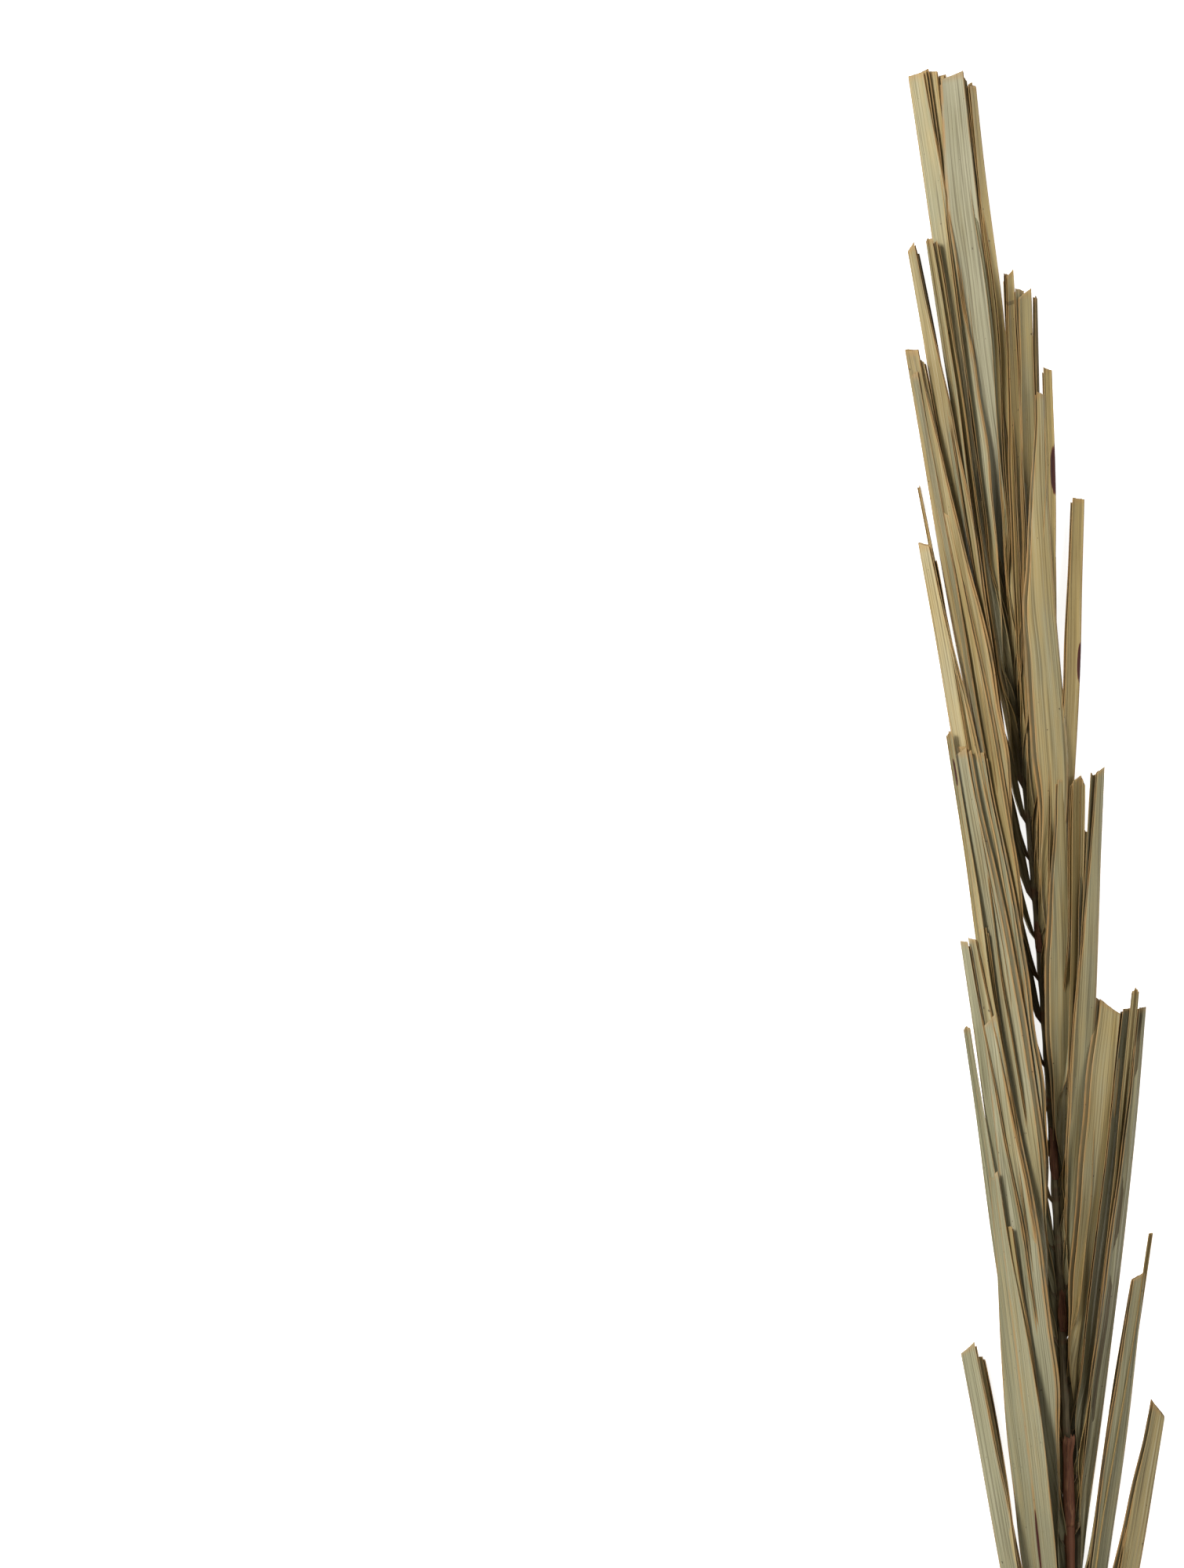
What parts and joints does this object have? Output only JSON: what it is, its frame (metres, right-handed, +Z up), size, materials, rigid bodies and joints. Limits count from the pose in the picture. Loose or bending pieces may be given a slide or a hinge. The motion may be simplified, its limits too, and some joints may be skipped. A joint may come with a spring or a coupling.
{
  "type": "fan palm leaf",
  "caption": "Dried palm leaf laid flat: a long tapering midrib with narrow folded leaflets along both sides, their ends trimmed in steps.",
  "frame": {"origin": "middle of the leaf's box, on the plane that the leaf lies on", "axes": "+Y along the leaf from the cut stalk to the tip, +X to the leaf's right seen from above, +Z up from the surface"},
  "size_m": [0.167, 1.2768, 0.0267],
  "materials": {
    "midrib": "dry dark brown rib with fine lengthways ridges",
    "leaflet": "matt dried leaf, sage green to tan, with fine parallel veins and orange-tan margins"
  },
  "bodies": {
    "root": {"midrib": "midrib", "leaflet_left_01": "leaflet", "leaflet_left_02": "leaflet", "leaflet_left_03": "leaflet", "leaflet_left_04": "leaflet", "leaflet_left_05": "leaflet", "leaflet_left_06": "leaflet", "leaflet_left_07": "leaflet", "leaflet_left_08": "leaflet", "leaflet_left_09": "leaflet", "leaflet_left_10": "leaflet", "leaflet_left_11": "leaflet", "leaflet_left_12": "leaflet", "leaflet_left_13": "leaflet", "leaflet_left_14": "leaflet", "leaflet_left_15": "leaflet", "leaflet_left_16": "leaflet", "leaflet_left_17": "leaflet", "leaflet_left_18": "leaflet", "leaflet_left_19": "leaflet", "leaflet_left_20": "leaflet", "leaflet_left_21": "leaflet", "leaflet_left_22": "leaflet", "leaflet_left_23": "leaflet", "leaflet_left_24": "leaflet", "leaflet_left_25": "leaflet", "leaflet_left_26": "leaflet", "leaflet_left_27": "leaflet", "leaflet_left_28": "leaflet", "leaflet_left_29": "leaflet", "leaflet_right_01": "leaflet", "leaflet_right_02": "leaflet", "leaflet_right_03": "leaflet", "leaflet_right_04": "leaflet", "leaflet_right_05": "leaflet", "leaflet_right_06": "leaflet", "leaflet_right_07": "leaflet", "leaflet_right_08": "leaflet", "leaflet_right_09": "leaflet", "leaflet_right_10": "leaflet", "leaflet_right_11": "leaflet", "leaflet_right_12": "leaflet", "leaflet_right_13": "leaflet", "leaflet_right_14": "leaflet", "leaflet_right_15": "leaflet", "leaflet_right_16": "leaflet", "leaflet_right_17": "leaflet", "leaflet_right_18": "leaflet", "leaflet_right_19": "leaflet", "leaflet_right_20": "leaflet", "leaflet_right_21": "leaflet", "leaflet_right_22": "leaflet", "leaflet_right_23": "leaflet", "leaflet_right_24": "leaflet", "leaflet_right_25": "leaflet", "leaflet_right_26": "leaflet", "leaflet_right_27": "leaflet", "leaflet_right_28": "leaflet", "leaflet_right_29": "leaflet", "leaflet_tip": "leaflet"}
  },
  "joints": []
}
